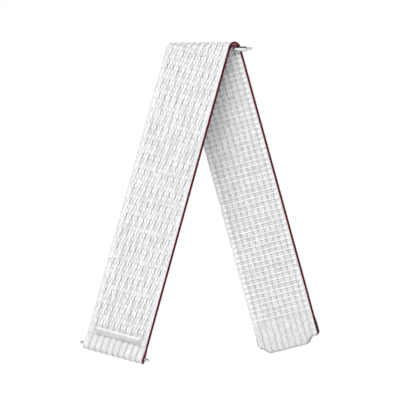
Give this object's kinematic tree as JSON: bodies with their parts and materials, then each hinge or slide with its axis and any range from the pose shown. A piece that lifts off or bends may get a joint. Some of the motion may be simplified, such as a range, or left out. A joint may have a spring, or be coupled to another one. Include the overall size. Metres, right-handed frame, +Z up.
{
  "type": "watch strap",
  "caption": "Woven nylon watch strap with contrasting edge yarn, folded over its upper spring bar, with a sleeved lower spring bar and a hook patch on its tail.",
  "frame": {"origin": "middle of the fold, on the axis of the upper spring bar", "axes": "+X along the upper bar, +Y towards the side on which the tail hangs, +Z up"},
  "size_m": [0.0655, 0.0329, 0.0965],
  "materials": {
    "white_nylon": "woven",
    "red_yarn": "woven",
    "hook_tape": "hooked pile",
    "welded_nylon": "satin",
    "steel": "polished",
    "spring_steel": "drawn wire"
  },
  "bodies": {
    "band": {"band_main": "white_nylon", "band_fold": "white_nylon", "edge_main_left": "red_yarn", "edge_main_right": "red_yarn", "edge_fold_left": "red_yarn", "edge_fold_right": "red_yarn", "keeper_bar": "welded_nylon"},
    "tail": {"band_tail": "white_nylon", "edge_tail_left": "red_yarn", "edge_tail_right": "red_yarn", "hook_patch": "hook_tape"},
    "upper_bar": {"upper_bar_tube": "steel", "upper_bar_spring": "spring_steel"},
    "upper_pin_left": {"upper_bar_pin_left": "steel"},
    "upper_pin_right": {"upper_bar_pin_right": "steel"},
    "lower_bar": {"lower_bar_tube": "steel", "lower_bar_spring": "spring_steel"},
    "lower_pin_left": {"lower_bar_pin_left": "steel"},
    "lower_pin_right": {"lower_bar_pin_right": "steel"}
  },
  "joints": [
    {"name": "tail_fold", "type": "hinge", "parent": "band", "child": "tail", "pos_m": [0, 0, 0], "axis": [1, 0, 0], "range_deg": [-12, 160], "stiffness_Nm_per_rad": 0.002, "springref_deg": 2.11, "deforming": ["band_fold", "edge_fold_left", "edge_fold_right"]},
    {"name": "upper_bar_slide", "type": "slide", "parent": "band", "child": "upper_bar", "axis": [1, 0, 0], "range_m": [-0.008, 0.003]},
    {"name": "upper_pin_left_press", "type": "slide", "parent": "upper_bar", "child": "upper_pin_left", "axis": [1, 0, 0], "range_m": [0, 0.0011], "stiffness_N_per_m": 300, "springref_m": -0.0005, "deforming": ["upper_bar_spring"]},
    {"name": "upper_pin_right_press", "type": "slide", "parent": "upper_bar", "child": "upper_pin_right", "axis": [-1, 0, 0], "range_m": [0, 0.0011], "stiffness_N_per_m": 300, "springref_m": -0.0005, "deforming": ["upper_bar_spring"]},
    {"name": "lower_bar_spin", "type": "hinge", "parent": "band", "child": "lower_bar", "pos_m": [-0.02261, -0.01473, -0.09061], "axis": [0.9726, -0.0314, -0.2305], "continuous": true},
    {"name": "lower_pin_left_press", "type": "slide", "parent": "lower_bar", "child": "lower_pin_left", "axis": [0.9726, -0.0314, -0.2305], "range_m": [0, 0.0011], "stiffness_N_per_m": 300, "springref_m": -0.0005, "deforming": ["lower_bar_spring"]},
    {"name": "lower_pin_right_press", "type": "slide", "parent": "lower_bar", "child": "lower_pin_right", "axis": [-0.9726, 0.0314, 0.2305], "range_m": [0, 0.0011], "stiffness_N_per_m": 300, "springref_m": -0.0005, "deforming": ["lower_bar_spring"]}
  ]
}
